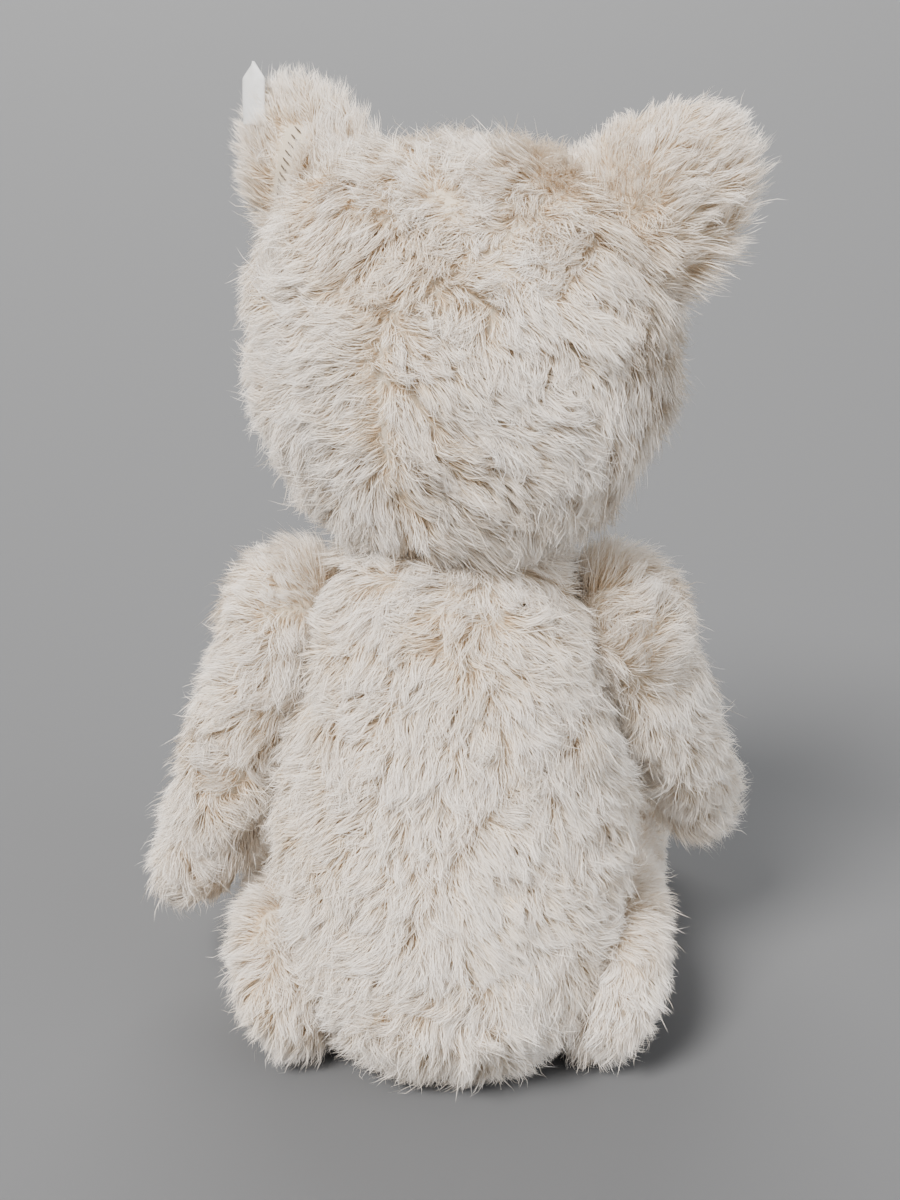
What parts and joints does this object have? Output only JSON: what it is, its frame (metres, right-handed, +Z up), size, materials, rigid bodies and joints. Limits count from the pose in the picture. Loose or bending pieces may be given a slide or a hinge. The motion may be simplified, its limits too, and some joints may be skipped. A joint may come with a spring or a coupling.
{
  "type": "jointed teddy bear",
  "caption": "Long-pile mohair teddy bear sitting upright, with disc-jointed head, arms and legs, felt paws, glass eyes and a stitched nose.",
  "frame": {"origin": "middle of the overall box on the floor, under the front of the belly", "axes": "+Z up, the bear's body faces -Y, the bear's left is +X; at rest the bear sits with its legs forwards and its head turned 22 degrees to its right"},
  "size_m": [0.2534, 0.24, 0.4008],
  "materials": {
    "mohair_plush": "matte",
    "stuffing": "matte",
    "felt": "matte",
    "hardboard": "matte",
    "insole_card": "matte",
    "steel": "satin",
    "eye_glass": "gloss",
    "embroidery_thread": "satin",
    "label_cloth": "matte"
  },
  "bodies": {
    "torso": {"hip_left_body_board": "hardboard", "hip_left_body_washer": "steel", "hip_right_body_board": "hardboard", "hip_right_body_washer": "steel", "neck_body_board": "hardboard", "neck_body_washer": "steel", "shoulder_left_body_board": "hardboard", "shoulder_left_body_washer": "steel", "shoulder_right_body_board": "hardboard", "shoulder_right_body_washer": "steel", "torso_skin": "mohair_plush", "torso_stuffing": "stuffing"},
    "head": {"ear_label": "label_cloth", "ear_left": "mohair_plush", "ear_right": "mohair_plush", "eye_left": "eye_glass", "eye_right": "eye_glass", "head_skin": "mohair_plush", "head_stuffing": "stuffing", "neck_head_board": "hardboard", "neck_head_washer": "steel", "neck_pin": "steel", "nose": "embroidery_thread"},
    "arm_left": {"arm_left_skin": "mohair_plush", "arm_left_stuffing": "stuffing", "paw_left_felt": "felt", "shoulder_left_arm_board": "hardboard", "shoulder_left_arm_washer": "steel", "shoulder_left_pin": "steel"},
    "arm_right": {"arm_right_skin": "mohair_plush", "arm_right_stuffing": "stuffing", "paw_right_felt": "felt", "shoulder_right_arm_board": "hardboard", "shoulder_right_arm_washer": "steel", "shoulder_right_pin": "steel"},
    "leg_left": {"hip_left_leg_board": "hardboard", "hip_left_leg_washer": "steel", "hip_left_pin": "steel", "leg_left_skin": "mohair_plush", "leg_left_stuffing": "stuffing", "sole_left_board": "insole_card", "sole_left_felt": "felt"},
    "leg_right": {"hip_right_leg_board": "hardboard", "hip_right_leg_washer": "steel", "hip_right_pin": "steel", "leg_right_skin": "mohair_plush", "leg_right_stuffing": "stuffing", "sole_right_board": "insole_card", "sole_right_felt": "felt"}
  },
  "joints": [
    {"name": "neck", "type": "hinge", "parent": "torso", "child": "head", "pos_m": [-0.00302, 0.04766, 0.226], "axis": [0, 0, 1], "continuous": true},
    {"name": "shoulder_left", "type": "hinge", "parent": "torso", "child": "arm_left", "pos_m": [0.04898, 0.04166, 0.183], "axis": [-0.9511, 0, -0.309], "range_deg": [-60, 95]},
    {"name": "shoulder_right", "type": "hinge", "parent": "torso", "child": "arm_right", "pos_m": [-0.05502, 0.04166, 0.183], "axis": [-0.9511, 0, 0.309], "range_deg": [-80, 75]},
    {"name": "hip_left", "type": "hinge", "parent": "torso", "child": "leg_left", "pos_m": [0.04948, 0.06466, 0.04], "axis": [0.9474, -0.0829, -0.309], "range_deg": [-5, 95]},
    {"name": "hip_right", "type": "hinge", "parent": "torso", "child": "leg_right", "pos_m": [-0.05552, 0.06466, 0.04], "axis": [0.9474, 0.0829, 0.309], "range_deg": [-5, 95]}
  ]
}
